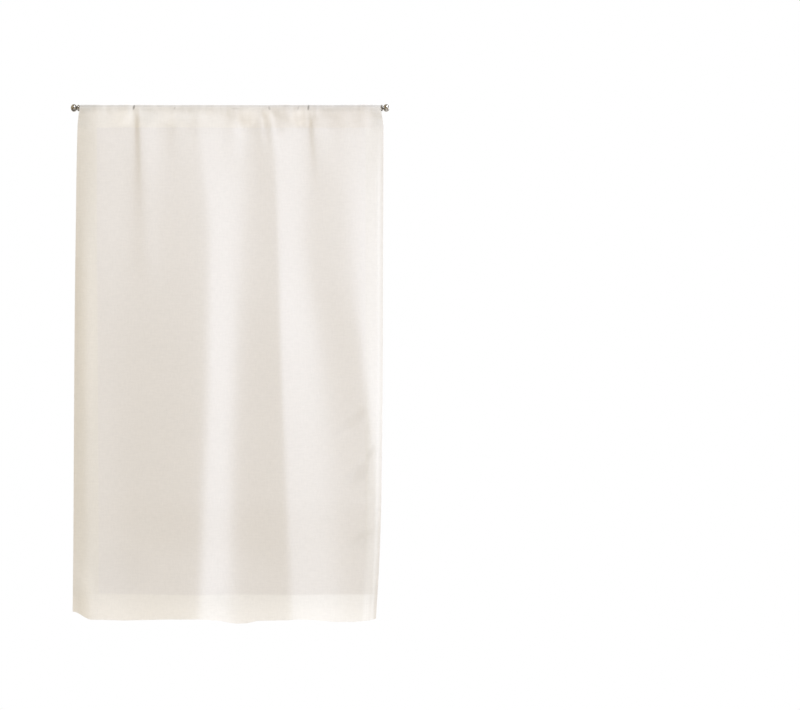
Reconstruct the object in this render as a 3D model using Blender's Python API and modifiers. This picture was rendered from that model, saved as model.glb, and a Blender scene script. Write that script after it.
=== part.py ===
"""A short curtain of semi-sheer cloth, hung by its pocket on a slim rod with a knob at each end.

Metres, +Z up. The origin is the middle of the rod's axis. +X runs to the right of someone who
faces the curtain, and the curtain's face looks along -Y. "Below" is measured down from the
rod's axis, and "forward" from the rod's axis towards the viewer.
"""

import math

import bmesh
import bpy
import numpy as np

MM = 0.001

# Rod
ROD_RADIUS = 5.0 * MM
ROD_HALF_LENGTH = 301.5 * MM
ROD_SIDES = 32
ROD_EDGE_ROUND = 0.4 * MM
ROD_SMOOTH_ANGLE = math.radians(40)
SEAT_GAP = 0.3 * MM

# Finial, from the rod's end outwards
FINIAL_LENGTH = 16.6 * MM
COLLAR_RADIUS = 6.2 * MM
COLLAR_LENGTH = 2.8 * MM
COLLAR_ROUND = 0.7 * MM
NECK_RADIUS = 3.4 * MM
KNOB_RADIUS = 7.4 * MM
KNOB_HALF_LENGTH = 6.1 * MM
KNOB_ARC_STEPS = 14
COVE_STEPS = 5
COVE_POWER = 2.5
FINIAL_SIDES = 24

# Cloth: one layer, and where a hem doubles it
CLOTH_THICK = 1.2 * MM
HEM_THICK = 1.8 * MM
POCKET_SEAM = 40 * MM
HEM_STITCH = 971 * MM
DROP = 1025.6 * MM
LEFT_HEM_EDGE = -265 * MM
RIGHT_HEM_EDGE = 271 * MM
HEM_EDGE_BLEND = 4 * MM

# Pocket: how the cloth lies round the rod, and how far below its axis the back layer turns in and
# meets the front one again
REST_GAP = 0.5 * MM
LAYER_GAP = 0.4 * MM
POCKET_TURNS_IN = 2 * MM
POCKET_CLOSES = 13 * MM
SLACK_ROUND = 0.4 * MM

# How far the cloth stands off the rod between its tucks, in millimetres, and how much of each
# gather is left where the cloth passes over the rod
STAND_OFF = (
    # rod x, stand-off
    (-300, 0.1),
    (-255, 0.3),
    (-222, 0.4),
    (-200, 1.0),
    (-186, 0.4),
    (-168, 0.1),
    (20, 0.1),
    (42, 1.1),
    (58, 0.2),
    (138, 0.2),
    (151, 1.0),
    (166, 0.2),
    (301, 0.1),
)
GATHER_OVER_ROD = 0.25

# How far below the rod's axis the front layer leaves the rod's roundness and hangs in its folds
HANGS_FREE = 24 * MM

# Heights, below the rod's axis, at which the tables give each long fold line: at the rod, at the
# pocket's seam, high, in the middle, low, above the bottom hem, and at the bottom edge
LEVELS = np.array([0, 40, 260, 500, 780, 900, 1025]) * MM

# The long fold lines from the cloth's left edge to its right edge: how far right of the rod's
# middle each lies, in millimetres
LINE_PLACES = {
    #                rod  seam  high  middle  low  hem  bottom
    "left edge":     (-300, -304.7, -308.8, -313.3, -316.4, -317.7, -318.7),
    "left turn":     (-290, -292, -291, -290, -290, -289, -288),
    "left swell":    (-240, -240, -222, -225, -232, -220, -200),
    "first ridge":   (-60, -60, -41, -42, -51, -55, -59),
    "first trough":  (44, 40, 24, 11, 2, 1, 0),
    "second ridge":  (72, 84, 97, 103, 114, 119, 124),
    "second trough": (150, 150, 150, 180, 206, 211, 216),
    "third ridge":   (230, 235, 246, 268, 290, 283, 270),
    "right edge":    (301, 306.8, 306, 305.4, 302.6, 298.8, 291.6),
}

# How far forward each line stands, in millimetres
LINE_DEPTHS = {
    #                rod  seam  high  middle  low  hem  bottom
    "left edge":     (4, 3, 0.5, -9.5, -16.9, -19.8, -16),
    "left turn":     (4, 4.5, 4, -4, -11, -14.2, -10.5),
    "left swell":    (4, 3.5, 1, -4.5, -11, -13.5, -8.2),
    "first ridge":   (4, 8, 12.5, 15, 13, 8, 10.5),
    "first trough":  (4, 0, -1, -1, -4, -9, -8.5),
    "second ridge":  (4, 5.5, 7.5, 12, 12.5, 8.5, 4),
    "second trough": (4, 0.5, 0.5, -2, 0, -4.5, -9.5),
    "third ridge":   (4, 6, 10.5, 9.5, 9, 2, -10),
    "right edge":    (4, 2.5, -1, -1, 5.6, -1, -11.5),
}

# How softly the cloth bends over each inner line, in millimetres
LINE_ROUND = {
    #                rod  seam  high  middle  low  hem  bottom
    "left turn":     (12, 14, 14, 12, 12, 12, 12),
    "left swell":    (40, 40, 40, 40, 40, 40, 40),
    "first ridge":   (10, 10, 12, 13, 12, 11, 10),
    "first trough":  (20, 22, 28, 22, 20, 21, 22),
    "second ridge":  (5, 6, 5, 5, 7, 8, 10),
    "second trough": (14, 16, 20, 28, 34, 31, 26),
    "third ridge":   (30, 30, 30, 10, 6, 8, 10),
}

# How far the bottom edge is lifted off a level line, in millimetres
BOTTOM_LIFT = (
    # x, lift
    (-318, 0),
    (-260, 0.5),
    (-212, -0.7),
    (-130, 2.8),
    (-62, 4.3),
    (-24, 0.3),
    (0, -5),
    (16, -6.6),
    (34, -5.6),
    (54, -0.5),
    (110, 1.4),
    (135, 3),
    (155, 2),
    (212, -3.8),
    (250, -3.7),
    (275, -1.5),
    (292, 2),
)

# The gathers under the rod, each a ridge: where it starts at the rod and where it dies out, how
# far below the rod that is, its height, and the half widths of its left and right sides at the
# rod, in millimetres. A negative height is a tuck, and each one spreads as it runs down.
GATHERS = (
    # rod x, end x, length, height, left side, right side
    (-262, -256, 620, 3.2, 26, 56),
    (-180, -169, 270, 3.1, 7, 24),
    (-108, -104, 160, 1.2, 10, 22),
    (-64, -60, 120, 1.0, 8, 20),
    (6, 10, 150, 1.2, 12, 10),
    (56, 70, 130, 1.2, 12, 5),
    (78, 90, 110, 1.2, 10, 6),
    (163, 184, 190, 2.3, 6, 22),
    (222, 232, 140, 0.9, 12, 18),
    (272, 262, 120, 1.2, 14, 8),
)

# How much wider a gather is where it dies out than at the rod
GATHER_SPREAD = 1.9

# The lower left corner, which curls back and up
CORNER_WIDTH = 41 * MM
CORNER_HEIGHT = 90 * MM
CORNER_RISE = 15.5 * MM
CORNER_BACK = 3 * MM

# The cloth's grid: columns after each guide line, and rows. The pocket's rows are shares of its
# depth, closest where the back layer turns in under the rod.
COLUMNS = {"left edge": 29, "first ridge": 19, "second ridge": 22}
GUIDES = ("left edge", "first ridge", "second ridge", "right edge")
POCKET_ROWS = np.array([0.11, 0.22, 0.33, 0.6, 1.0])
OVER_ROD_STEPS = 8
FACE_ROWS = 17
FACE_ROW_POWER = 1.6
HEM_ROWS = 3

# Colours
CREAM_CLOTH = (0.80, 0.77, 0.70, 1.0)
AGED_NICKEL = (0.36, 0.34, 0.30, 1.0)


def clear_scene():
    for obj in list(bpy.data.objects):
        bpy.data.objects.remove(obj, do_unlink=True)


def principled(name, colour, roughness, metallic):
    material = bpy.data.materials.new(name)
    material.use_nodes = True
    shader = material.node_tree.nodes["Principled BSDF"]
    shader.inputs["Base Color"].default_value = colour
    shader.inputs["Roughness"].default_value = roughness
    shader.inputs["Metallic"].default_value = metallic
    return material


def smooth(t):
    """0 to 1 with flat ends."""
    t = np.clip(t, 0.0, 1.0)
    return t * t * (3 - 2 * t)


def mix(a, b, share):
    return a + (b - a) * share


def soft_ramp(a, rounding):
    """a where it is positive, 0 where it is negative, with a rounded corner between."""
    return 0.5 * (a + np.hypot(a, rounding))


def level_slopes(values):
    """The slopes of a smooth curve through the values at LEVELS that never overshoots them."""
    rises = np.diff(values) / np.diff(LEVELS)
    products = rises[:-1] * rises[1:]
    inner = [2 * p / (a + b) if p > 0 else 0.0 for p, a, b in zip(products, rises, rises[1:])]
    return [rises[0], *inner, rises[-1]]


def at_level(values, below):
    """The value at a distance below the rod, on a smooth curve through the values at LEVELS."""
    values = np.array(values, float) * MM
    slopes = level_slopes(values)
    i = int(np.clip(np.searchsorted(LEVELS, below) - 1, 0, len(LEVELS) - 2))
    span = LEVELS[i + 1] - LEVELS[i]
    t = (below - LEVELS[i]) / span
    return (
        values[i] * (1 + 2 * t) * (1 - t) ** 2
        + values[i + 1] * (3 - 2 * t) * t**2
        + slopes[i] * span * t * (1 - t) ** 2
        + slopes[i + 1] * span * (t - 1) * t**2
    )


def line_places(below):
    return np.array([at_level(values, below) for values in LINE_PLACES.values()])


def long_folds(x, below):
    """How far forward the long folds bring the cloth: straight flanks, rounded at each line."""
    places = line_places(below)
    depths = np.array([at_level(values, below) for values in LINE_DEPTHS.values()])
    slopes = np.diff(depths) / np.diff(places)
    forward = depths[0] + slopes[0] * (x - places[0])
    for i, roundings in enumerate(LINE_ROUND.values()):
        bend = slopes[i + 1] - slopes[i]
        forward = forward + bend * soft_ramp(x - places[i + 1], at_level(roundings, below))
    return forward


def gathers(x, below):
    """How far forward the short gathers under the rod bring the cloth."""
    forward = np.zeros_like(x)
    for rod_x, end_x, length, height, left_side, right_side in GATHERS:
        share = min(below / (length * MM), 1.0)
        off = x - mix(rod_x, end_x, share) * MM
        width = np.where(off < 0, left_side, right_side) * mix(1.0, GATHER_SPREAD, share) * MM
        forward += height * MM * (1 - smooth(share)) * np.exp(-((off / width) ** 2))
    return forward


def corner_share(x, below):
    """1 at the lower left corner, falling to 0 across its width and height."""
    edge = at_level(LINE_PLACES["left edge"], below)
    across = smooth((edge + CORNER_WIDTH - x) / CORNER_WIDTH)
    return across * smooth((below - DROP + CORNER_HEIGHT) / CORNER_HEIGHT)


def doubled(x, below):
    """1 where a hem doubles the cloth, 0 where it is one layer."""
    left = smooth((LEFT_HEM_EDGE - x) / HEM_EDGE_BLEND)
    right = smooth((x - RIGHT_HEM_EDGE) / HEM_EDGE_BLEND)
    bottom = float(below >= HEM_STITCH)
    return np.maximum(np.maximum(left, right), bottom)


def thickness(x, below):
    return mix(CLOTH_THICK, HEM_THICK, doubled(x, below))


def reach(x):
    """The cloth's outer distance from the rod's axis where it passes over the rod."""
    rod_x, stand_off = np.array(STAND_OFF).T * MM
    bunched = GATHER_OVER_ROD * gathers(x, 0.0)
    slack = soft_ramp(bunched + np.interp(x, rod_x, stand_off), SLACK_ROUND)
    return ROD_RADIUS + REST_GAP + thickness(x, 0.0) + slack


def face_forward(x, below):
    """How far forward the cloth's face stands, from the rod down to the bottom edge."""
    hanging = long_folds(x, below) + gathers(x, below)
    hanging = hanging - CORNER_BACK * corner_share(x, below)
    return mix(reach(x), hanging, smooth(below / HANGS_FREE))


def flap_forward(x, below):
    """How far forward the outer side of the pocket's back layer stands: behind the rod, then
    closing on the front layer."""
    open_gap = 2 * (reach(x) - thickness(x, below))
    closed = smooth((below - POCKET_TURNS_IN) / (POCKET_CLOSES - POCKET_TURNS_IN))
    gap = mix(open_gap, LAYER_GAP, closed)
    return face_forward(x, below) - 2 * thickness(x, below) - gap


def bottom_lift(x, below):
    """How far the bottom edge is lifted off a level line, growing from the hem's stitching."""
    lift_x, lifts = np.array(BOTTOM_LIFT).T * MM
    share = smooth((below - HEM_STITCH) / (DROP - HEM_STITCH))
    return share * np.interp(x, lift_x, lifts) + CORNER_RISE * corner_share(x, below)


def columns_at(below):
    """The places of the grid's columns, which follow the guide lines."""
    guides = [at_level(LINE_PLACES[name], below) for name in GUIDES]
    spans = [
        np.linspace(start, end, COLUMNS[name], endpoint=False)
        for name, start, end in zip(GUIDES, guides, guides[1:])
    ]
    return np.append(np.concatenate(spans), guides[-1])


def grid_rows():
    """Each row of the cloth as (layer, distance below the rod, turn about the rod), from the
    bottom edge up the face, over the rod and down the back layer to its sewn edge."""
    pocket = POCKET_SEAM * POCKET_ROWS
    steps = np.arange(1, FACE_ROWS + 1) / FACE_ROWS
    face = mix(POCKET_SEAM, HEM_STITCH, steps**FACE_ROW_POWER)
    hem = np.linspace(HEM_STITCH, DROP, HEM_ROWS + 1)[1:]
    down = np.concatenate([pocket, face, hem])
    rows = [("face", below, 0.0) for below in down[::-1]]
    rows += [("over", 0.0, turn) for turn in np.linspace(0.0, math.pi, OVER_ROD_STEPS + 1)]
    rows += [("flap", below, 0.0) for below in pocket]
    return rows


def row_points(layer, below, turn):
    """The cloth's outer surface along one row, as x, y and z arrays."""
    x = columns_at(below)
    if layer == "over":
        return x, -reach(x) * math.cos(turn), reach(x) * math.sin(turn)
    if layer == "flap":
        return x, -flap_forward(x, below), np.full_like(x, -below)
    return x, -face_forward(x, below), bottom_lift(x, below) - below


def make_curtain():
    """The cloth as one sheet, turned over the rod at the top. Its outer surface is the grid, and
    its thickness grows inwards from there."""
    rows = grid_rows()
    width = sum(COLUMNS.values())
    bm = bmesh.new()
    bmesh.ops.create_grid(bm, x_segments=width, y_segments=len(rows) - 1, size=0.5)
    weights = {}
    points = [np.array(row_points(*row)) for row in rows]
    doubles = [doubled(x, below) for (x, _, _), (_, below, _) in zip(points, rows)]
    for vertex in bm.verts:
        column = round((vertex.co.x + 0.5) * width)
        row = round((vertex.co.y + 0.5) * (len(rows) - 1))
        vertex.co = points[row][:, column]
        weights[vertex.index] = float(doubles[row][column])
    mesh = bpy.data.meshes.new("curtain")
    bm.normal_update()
    bm.to_mesh(mesh)
    bm.free()
    curtain = bpy.data.objects.new("curtain", mesh)
    group = curtain.vertex_groups.new(name="double cloth")
    for index, weight in weights.items():
        group.add([index], weight, "REPLACE")
    shell = curtain.modifiers.new("cloth thickness", "SOLIDIFY")
    shell.thickness = HEM_THICK
    shell.offset = -1.0
    shell.use_even_offset = True
    shell.vertex_group = group.name
    shell.thickness_vertex_group = CLOTH_THICK / HEM_THICK
    mesh.shade_smooth()
    return curtain


def make_rod():
    bpy.ops.mesh.primitive_cylinder_add(
        vertices=ROD_SIDES,
        radius=ROD_RADIUS,
        depth=2 * ROD_HALF_LENGTH,
        rotation=(0.0, math.pi / 2, 0.0),
    )
    rod = bpy.context.object
    rod.name = rod.data.name = "rod"
    edge = rod.modifiers.new("rounded ends", "BEVEL")
    edge.width = ROD_EDGE_ROUND
    edge.segments = 2
    rod.data.shade_smooth()
    rod.data.set_sharp_from_angle(angle=ROD_SMOOTH_ANGLE)
    return rod


def finial_profile():
    """(radius, height) from the knob's tip down to the flat end that meets the rod."""
    knob_middle = FINIAL_LENGTH - KNOB_HALF_LENGTH
    neck_angle = math.acos(NECK_RADIUS / KNOB_RADIUS)
    profile = []
    for step in range(KNOB_ARC_STEPS + 1):
        angle = mix(math.pi / 2, -neck_angle, step / KNOB_ARC_STEPS)
        radius = KNOB_RADIUS * math.cos(angle)
        profile.append((radius, knob_middle + KNOB_HALF_LENGTH * math.sin(angle)))
    profile[0] = (0.0, FINIAL_LENGTH)
    neck_top = profile[-1][1]
    shoulder = COLLAR_RADIUS - COLLAR_ROUND
    for step in range(1, COVE_STEPS + 1):
        share = step / COVE_STEPS
        radius = mix(NECK_RADIUS, shoulder, share**COVE_POWER)
        profile.append((radius, mix(neck_top, COLLAR_LENGTH, share)))
    profile.append((COLLAR_RADIUS, COLLAR_LENGTH - COLLAR_ROUND))
    profile.append((COLLAR_RADIUS, COLLAR_ROUND))
    profile.append((shoulder, 0.0))
    profile.append((0.0, 0.0))
    return profile


def make_finial(name, side):
    """A turned knob and collar at the rod's end. side is 1 at the right end, -1 at the left."""
    profile = finial_profile()
    mesh = bpy.data.meshes.new(name)
    edges = [(i, i + 1) for i in range(len(profile) - 1)]
    mesh.from_pydata([(radius, 0.0, height) for radius, height in profile], edges, [])
    finial = bpy.data.objects.new(name, mesh)
    turned = finial.modifiers.new("turned", "SCREW")
    turned.axis = "Z"
    turned.steps = turned.render_steps = FINIAL_SIDES
    turned.use_merge_vertices = True
    turned.merge_threshold = 0.00001
    turned.use_smooth_shade = True
    finial.rotation_euler = (0.0, side * math.pi / 2, 0.0)
    finial.location = (side * (ROD_HALF_LENGTH + SEAT_GAP), 0.0, 0.0)
    return finial


def main():
    clear_scene()
    cloth = principled("cream cloth", CREAM_CLOTH, 0.9, 0.0)
    metal = principled("aged nickel", AGED_NICKEL, 0.32, 1.0)
    parts = bpy.data.collections.new("short_curtain_on_rod")
    bpy.context.scene.collection.children.link(parts)
    made = [
        (make_curtain(), cloth),
        (make_rod(), metal),
        (make_finial("finial_left", -1), metal),
        (make_finial("finial_right", 1), metal),
    ]
    for obj, material in made:
        obj.data.materials.clear()
        obj.data.materials.append(material)
        for collection in list(obj.users_collection):
            collection.objects.unlink(obj)
        parts.objects.link(obj)
    bpy.context.view_layer.update()


main()
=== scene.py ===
"""The looks of a short curtain of semi-sheer cloth, hung by its pocket on a slim rod.

Metres, +Z up. The origin is the middle of the rod's axis, +X runs to the right of someone who
faces the curtain, and the curtain's face looks along -Y. "Below" is measured down from the rod's
axis, and "forward" from the rod's axis towards the viewer. The long folds, the gathers and the
edges repeat the sizes of the model's own cloth; the creases, the seams and the weave are added
here.
"""

import math
import random

import bmesh
import bpy
import mathutils
import numpy as np
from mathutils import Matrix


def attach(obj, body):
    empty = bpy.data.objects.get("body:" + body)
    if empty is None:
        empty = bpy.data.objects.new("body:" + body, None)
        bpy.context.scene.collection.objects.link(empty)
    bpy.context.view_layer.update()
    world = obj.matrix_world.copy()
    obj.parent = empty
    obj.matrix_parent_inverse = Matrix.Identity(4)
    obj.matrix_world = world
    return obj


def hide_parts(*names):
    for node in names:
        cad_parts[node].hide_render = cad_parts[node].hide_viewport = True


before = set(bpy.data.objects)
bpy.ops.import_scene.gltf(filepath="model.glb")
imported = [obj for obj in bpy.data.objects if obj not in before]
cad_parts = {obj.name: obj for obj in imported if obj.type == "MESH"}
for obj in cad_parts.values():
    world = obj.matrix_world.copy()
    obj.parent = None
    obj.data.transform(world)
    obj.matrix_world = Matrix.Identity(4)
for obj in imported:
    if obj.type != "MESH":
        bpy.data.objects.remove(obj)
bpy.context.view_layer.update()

MM = 0.001

# Rod and finials. Each finial sits a small gap off the rod's end.
ROD_RADIUS = 5.0 * MM
ROD_HALF_LENGTH = 301.5 * MM
SEAT_GAP = 0.3 * MM
FINIAL_LENGTH = 16.6 * MM
COLLAR_RADIUS = 6.2 * MM
COLLAR_LENGTH = 2.8 * MM
COLLAR_ROUND = 0.7 * MM
NECK_RADIUS = 3.4 * MM
KNOB_RADIUS = 7.4 * MM
KNOB_HALF_LENGTH = 6.1 * MM
KNOB_ARC_STEPS = 26
COVE_STEPS = 8
COVE_POWER = 2.5
FINIAL_SIDES = 56
MERGE_DISTANCE = 0.001 * MM

# Cloth: its thickness in one layer and in a hem, how far below the rod its seams and its bottom
# edge lie, where its side hems end, and its flat size before it was hung
CLOTH_THICK = 0.45 * MM
HEM_THICK = 1.0 * MM
POCKET_SEAM = 40 * MM
POCKET_TURNED_EDGE = 31 * MM
HEM_STITCH = 971 * MM
DROP = 1025.6 * MM
LEFT_HEM_EDGE = -265 * MM
RIGHT_HEM_EDGE = 271 * MM
HEM_EDGE_BLEND = 1.0 * MM

# Pocket: how the cloth lies round the rod, and how far below its axis the back layer turns in and
# meets the front one again
REST_GAP = 0.2 * MM
LAYER_GAP = 0.15 * MM
POCKET_TURNS_IN = 2 * MM
POCKET_CLOSES = 13 * MM
SLACK_ROUND = 0.4 * MM

# How far the cloth stands off the rod, most where it is bunched, in millimetres
STAND_OFF = (
    # rod x, stand-off
    (-300, 0.1),
    (-255, 0.3),
    (-222, 0.4),
    (-200, 1.0),
    (-186, 0.4),
    (-168, 0.1),
    (20, 0.1),
    (42, 1.1),
    (58, 0.2),
    (138, 0.2),
    (151, 1.0),
    (166, 0.2),
    (301, 0.1),
)
# How far below the rod these bumps have died out
BUMPS_END = 56 * MM
# How much of each gather and of each crease is left where the cloth passes over the rod, and how
# gently the double cloth of a side hem gives way to the single cloth there
GATHER_OVER_ROD = 0.25
CREASE_OVER_ROD = 0.45
HEM_OVER_ROD = 18 * MM

# How far below the rod's axis the front layer has left the rod's roundness and hangs in its folds:
# further down where it is bunched, in millimetres
HANGS_FREE = (
    # x, below
    (-301, 24),
    (0, 24),
    (30, 40),
    (44, 40),
    (60, 24),
    (98, 24),
    (140, 46),
    (153, 46),
    (166, 24),
    (301, 24),
)

# Heights, below the rod's axis, at which the tables give each long fold line: at the rod, at the
# pocket's seam, high, in the middle, low, above the bottom hem, and at the bottom edge
LEVELS = np.array([0, 40, 260, 500, 780, 900, 1025]) * MM

# The long fold lines from the cloth's left edge to its right edge: how far right of the rod's
# middle each lies, in millimetres
LINE_PLACES = {
    #                rod  seam  high  middle  low  hem  bottom
    "left edge":     (-300, -304.7, -308.8, -313.3, -316.4, -317.7, -318.7),
    "left turn":     (-290, -292, -291, -290, -290, -289, -288),
    "left swell":    (-240, -240, -222, -225, -232, -220, -200),
    "first ridge":   (-60, -60, -41, -42, -51, -55, -59),
    "first trough":  (44, 40, 24, 11, 2, 1, 0),
    "second ridge":  (72, 84, 97, 103, 114, 119, 124),
    "second trough": (150, 150, 150, 180, 206, 211, 216),
    "third ridge":   (230, 235, 246, 268, 290, 283, 270),
    "right edge":    (301, 306.8, 306, 305.4, 302.6, 298.8, 291.6),
}

# How far forward each line stands, in millimetres
LINE_DEPTHS = {
    #                rod  seam  high  middle  low  hem  bottom
    "left edge":     (4, 3, 0.5, -9.5, -16.9, -19.8, -16),
    "left turn":     (4, 4.5, 4, -4, -11, -14.2, -10.5),
    "left swell":    (4, 3.5, 1, -4.5, -11, -13.5, -8.2),
    "first ridge":   (4, 8, 12.5, 15, 13, 8, 10.5),
    "first trough":  (4, 0, -1, -1, -4, -9, -8.5),
    "second ridge":  (4, 5.5, 7.5, 12, 12.5, 8.5, 4),
    "second trough": (4, 0.5, 0.5, -2, 0, -4.5, -9.5),
    "third ridge":   (4, 6, 10.5, 9.5, 9, 2, -10),
    "right edge":    (4, 2.5, -1, -1, 5.6, -1, -11.5),
}

# How softly the cloth bends over each inner line, in millimetres
LINE_ROUND = {
    #                rod  seam  high  middle  low  hem  bottom
    "left turn":     (12, 14, 14, 12, 12, 12, 12),
    "left swell":    (40, 40, 40, 40, 40, 40, 40),
    "first ridge":   (10, 10, 12, 13, 12, 11, 10),
    "first trough":  (20, 22, 28, 22, 20, 21, 22),
    "second ridge":  (5, 6, 5, 5, 7, 8, 10),
    "second trough": (14, 16, 20, 28, 34, 31, 26),
    "third ridge":   (30, 30, 30, 10, 6, 8, 10),
}

# How far the bottom edge is lifted off a level line, in millimetres
BOTTOM_LIFT = (
    # x, lift
    (-318, 0),
    (-260, 0.5),
    (-212, -0.7),
    (-130, 2.8),
    (-62, 4.3),
    (-24, 0.3),
    (0, -5),
    (16, -6.6),
    (34, -5.6),
    (54, -0.5),
    (110, 1.4),
    (135, 3),
    (155, 2),
    (212, -3.8),
    (250, -3.7),
    (275, -1.5),
    (292, 2),
)

# The gathers under the rod, each a ridge: where it starts at the rod and where it dies out, how
# far below the rod that is, its height, and the half widths of its left and right sides at the
# rod, in millimetres. A negative height is a tuck, and each one spreads as it runs down.
GATHERS = (
    # rod x, end x, length, height, left side, right side
    (-262, -256, 620, 3.2, 26, 56),
    (-180, -169, 270, 3.1, 7, 24),
    (-108, -104, 160, 1.2, 10, 22),
    (-64, -60, 120, 1.0, 8, 20),
    (6, 10, 150, 1.2, 12, 10),
    (56, 70, 130, 1.2, 12, 5),
    (78, 90, 110, 1.2, 10, 6),
    (163, 184, 190, 2.3, 6, 22),
    (222, 232, 140, 0.9, 12, 18),
    (272, 262, 120, 1.2, 14, 8),
)
# The smaller ones, which are only in this sheet
FINE_GATHERS = (
    # rod x, end x, length, height, left side, right side
    (-268, -266, 60, -0.8, 16, 20),
    (-236, -246, 70, -0.9, 18, 10),
    (-206, -222, 60, 1.2, 7, 10),
    (-156, -158, 60, 1.2, 12, 34),
    (-126, -122, 60, 0.5, 8, 8),
    (-80, -78, 60, 1.2, 20, 50),
    (-32, -28, 60, 1.0, 12, 16),
    (22, 26, 45, 1.0, 20, 12),
    (50, 54, 45, -0.7, 14, 16),
    (84, 88, 100, -1.8, 44, 11),
    (112, 118, 60, 2.4, 34, 12),
    (138, 130, 45, 1.0, 14, 8),
    (172, 176, 50, 0.5, 4, 4),
    (266, 250, 60, 1.8, 26, 7),
    (296, 298, 55, 0.5, 20, 16),
    (312, 310, 280, 2.2, 34, 20),
)
# How much wider a gather is where it dies out than at the rod
GATHER_SPREAD = 1.9

# The finest ruches, where the cloth is bunched on the rod: mean spacing, half width, length below
# the rod, and greatest height
RUCHE_SPACING = 11 * MM
RUCHE_WIDTH = 3.5 * MM
RUCHE_LENGTH = 14 * MM
RUCHE_HEIGHT = 0.6 * MM
RUCHE_SEED = 5
# How uneven the ruches and the puckers are: each one's share of the greatest height, and of the
# mean spacing
UNEVEN_HEIGHT = (0.35, 1.0)
UNEVEN_SPACING = (0.6, 1.5)

# The puckers that the pocket's stitching draws in: mean spacing, half width, greatest height, how
# far each leans to the right as it rises, and how far above and under the seam it reaches
PUCKER_SPACING = 12 * MM
PUCKER_WIDTH = 4 * MM
PUCKER_HEIGHT = 0.2 * MM
PUCKER_LEAN = 0.5
PUCKER_ABOVE = 9 * MM
PUCKER_UNDER = 5 * MM
PUCKER_SEED = 11

# A soft fold beside the left tuck, and the drag wrinkles that rise to the right edge: their two
# ends, half width and height, in millimetres
DRAGS = (
    # start x, below, end x, below, width, height
    (-172, 90, -166, 330, 22, 1.2),
    (226, 644, 262, 608, 9, -1.0),
    (240, 740, 286, 688, 8, -1.8),
    (250, 784, 288, 768, 6, -0.6),
    (244, 874, 290, 846, 7, -0.9),
)
# How gradually each one dies out at its ends
DRAG_FADE = 1.5

# The shallow groove inside the right edge: how far in, its half width, its depth, and how far below
# the rod it is full
EDGE_GROOVE_INSET = 5.5 * MM
EDGE_GROOVE_WIDTH = 3.5 * MM
EDGE_GROOVE_DEPTH = 0.6 * MM
EDGE_GROOVE_FULL = 160 * MM
# The turned strip beside it: how far in it starts and ends, how far back it lies, and the heights
# below the rod between which it grows
TURNED_STRIP_START = 30 * MM
TURNED_STRIP_END = 14 * MM
TURNED_STRIP_DEPTH = 1.0 * MM
TURNED_STRIP_TOP = 600 * MM
TURNED_STRIP_FULL = 720 * MM

# The lower left corner, which curls back and up
CORNER_WIDTH = 41 * MM
CORNER_HEIGHT = 90 * MM
CORNER_RISE = 15.5 * MM
CORNER_BACK = 3 * MM

# The cloth's grid: columns after each guide line, and rows, which lie closer together near the rod
GUIDES = ("left edge", "left hem", "first ridge", "second ridge", "right hem", "right edge")
COLUMNS = (22, 61, 54, 60, 15)
POCKET_ROWS = 16
FLAP_ROWS = 14
OVER_ROD_STEPS = 12
FACE_ROWS = 170
FACE_ROW_POWER = 1.12
HEM_ROWS = 14

# Sewing: the size of a stitch, how far apart the stitches are, and how far they run from the
# turned edge that they hold
STITCH_LENGTH = 2.2 * MM
STITCH_WIDTH = 0.42 * MM
STITCH_HEIGHT = 0.30 * MM
STITCH_PITCH = 3.0 * MM
STITCH_INSET = 1.6 * MM
# The cloth's direction at a stitch is taken this far to either side
SAMPLE_STEP = 0.5 * MM

# The cloth's colours: one layer, and where two layers lie together, at its left and its right side
SINGLE_CLOTH = (0.815, 0.79, 0.755, 1.0)
POCKET_LEFT = (0.88, 0.85, 0.79, 1.0)
POCKET_RIGHT = (0.83, 0.79, 0.735, 1.0)
BOTTOM_HEM_LEFT = (0.865, 0.84, 0.79, 1.0)
BOTTOM_HEM_RIGHT = (0.90, 0.885, 0.85, 1.0)
SIDE_HEM_LEFT = (0.83, 0.805, 0.75, 1.0)
SIDE_HEM_RIGHT = (0.81, 0.785, 0.74, 1.0)
# Half the width over which one layer changes to two at a turned edge
LAYER_EDGE = 0.5 * MM
# How far into a side hem the pocket's and the bottom hem's own colours reach
SIDE_HEM_CROSSING = 24 * MM
# How much lighter the bottom hem grows down to its edge, and how softly it starts
HEM_LIGHTENS = 0.07
HEM_SOFTNESS = 5 * MM
# The tint of the darkest painted shade, towards brown
SHADE_BROWN = (1.0, 0.97, 0.90, 1.0)
WHITE = (1.0, 1.0, 1.0, 1.0)

# The middle of what noise gives
NOISE_MIDDLE = 0.5

# The weave: the width of a thread, how many slubs and patches of mottling there are in a metre, and
# how much each of them adds to the cloth's own shade
THREAD_PITCH = 0.55 * MM
SLUB_SCALES = (70.0, 300.0)
MOTTLE_SCALE = 12.0
CLOTH_SHADE = 0.90
SLUB_SHADE = 0.09
MOTTLE_SHADE = 0.02
WEAVE_SHADE = 0.01
# How high the slubs stand against the weave
SLUB_RELIEF = 0.35
# The share of the light that one layer lets through
SHEERNESS = 0.2

# The rod shows darkly through the layer that lies on it, and the top of that layer is darkened more
# as painted shade: the share of light left on its front and on its top, how unevenly and in how
# many patches a metre, the height where this is full, and how far down from there it fades
OVER_ROD_FRONT = 0.93
OVER_ROD_TOP = 0.64
OVER_ROD_UNEVEN = 0.2
OVER_ROD_PATCHES = (90.0, 1.0, 60.0)
OVER_ROD_FOOT = -1 * MM
OVER_ROD_FADES = 11 * MM
# How much lighter it is again along the top edge, and half the width of that change
TOP_EDGE_LIGHTENS = 1.5
TOP_EDGE_CHANGE = 1.5 * MM
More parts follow.
